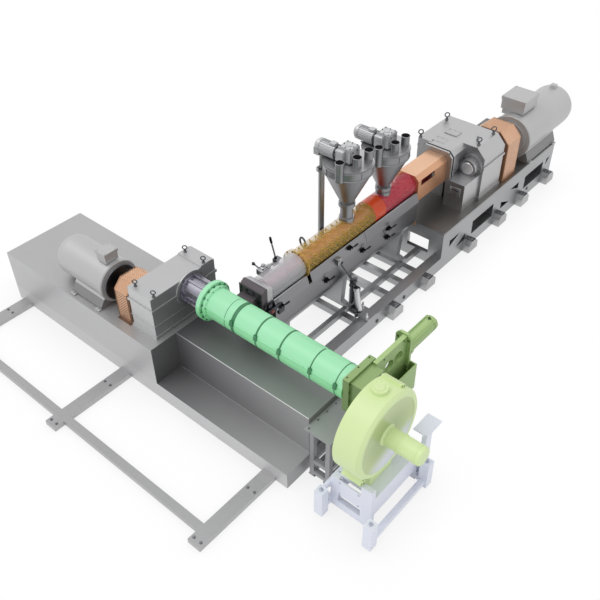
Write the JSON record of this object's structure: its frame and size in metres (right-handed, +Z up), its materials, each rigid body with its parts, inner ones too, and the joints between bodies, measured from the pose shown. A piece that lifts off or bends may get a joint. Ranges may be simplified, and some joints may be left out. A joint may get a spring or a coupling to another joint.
{
  "type": "kneader extruder",
  "caption": "Compounding line: a continuous kneader with feed hoppers on a steel bed feeds a discharge extruder that stands across its end with screen changer and pelletizer.",
  "frame": {"origin": "on the floor, under the crossing of the extruder barrel's axis and the kneader barrel's axis, on the slab's underside", "axes": "+X along the extruder from its motor to the pelletizer, +Y along the kneader from its outlet to its motor, +Z up"},
  "size_m": [8.85, 13.14, 3.43],
  "materials": {
    "plinth_steel": "satin grey paint on steel faces",
    "frame_grey": "satin grey paint",
    "housing_grey": "satin grey paint on cast housing",
    "motor_grey": "satin grey paint",
    "dark_steel": "dark turned steel",
    "copper_guard": "copper-coloured perforated sheet",
    "barrel_green": "light green barrel cover",
    "changer_olive": "olive paint on machined steel",
    "hood_lime": "pale yellow-green paint",
    "trolley_lilac": "pale lilac paint",
    "screw_steel": "polished steel with a pink cast",
    "clear_zone": "clear cover",
    "amber_zone": "amber see-through cover",
    "orange_zone": "orange-red paint",
    "red_zone": "red paint",
    "hopper_steel": "brushed sheet steel"
  },
  "bodies": {
    "line": {"foundation_slab": "plinth_steel", "drive_plinth": "plinth_steel", "barrel_plinth": "plinth_steel", "floor_crossbeams": "frame_grey", "floor_rails": "frame_grey", "extruder_gearbox": "housing_grey", "extruder_coupling": "dark_steel", "extruder_motor": "motor_grey", "extruder_terminal_box": "motor_grey", "extruder_coupling_guard": "copper_guard", "extruder_lantern": "housing_grey", "extruder_feed_flange": "barrel_green", "extruder_barrel": "barrel_green", "extruder_end_flange": "barrel_green", "screen_changer_body": "changer_olive", "screen_changer_bracket": "changer_olive", "screen_changer_slide": "dark_steel", "screen_changer_cylinder": "changer_olive", "changer_stand": "frame_grey", "changer_pedestal": "frame_grey", "pelletizer_hood": "hood_lime", "pelletizer_motor": "hood_lime", "trolley_table": "trolley_lilac", "trolley_frame": "trolley_lilac", "hood_saddle": "trolley_lilac", "bed_side_frames": "frame_grey", "bed_top_plate": "frame_grey", "bed_cross_members": "frame_grey", "bed_inner_rails": "frame_grey", "bed_portals": "frame_grey", "bed_anchor_feet": "frame_grey", "kneader_gearbox": "housing_grey", "kneader_coupling": "dark_steel", "kneader_motor": "motor_grey", "kneader_coupling_guard": "copper_guard", "kneader_terminal_box": "motor_grey", "kneading_teeth": "screw_steel", "kneader_zone_outlet": "clear_zone", "kneader_zone_heating": "amber_zone", "kneader_zone_ring": "orange_zone", "kneader_zone_feed": "red_zone", "discharge_head": "housing_grey", "kneader_trough": "frame_grey", "barrel_saddles": "frame_grey", "trough_legs": "frame_grey", "kneader_lantern_guard": "copper_guard", "feed_necks": "housing_grey", "hoppers": "hopper_steel", "hopper_lids": "hopper_steel", "hopper_drives": "motor_grey", "feeder_post": "frame_grey", "outlet_lever": "dark_steel", "valve_unit": "motor_grey"},
    "kneader_rotor": {"kneader_screw": "screw_steel"}
  },
  "joints": [
    {"name": "kneader_screw_turn", "type": "hinge", "parent": "line", "child": "kneader_rotor", "pos_m": [0, 1, 1.755], "axis": [0, 1, 0], "continuous": true}
  ]
}
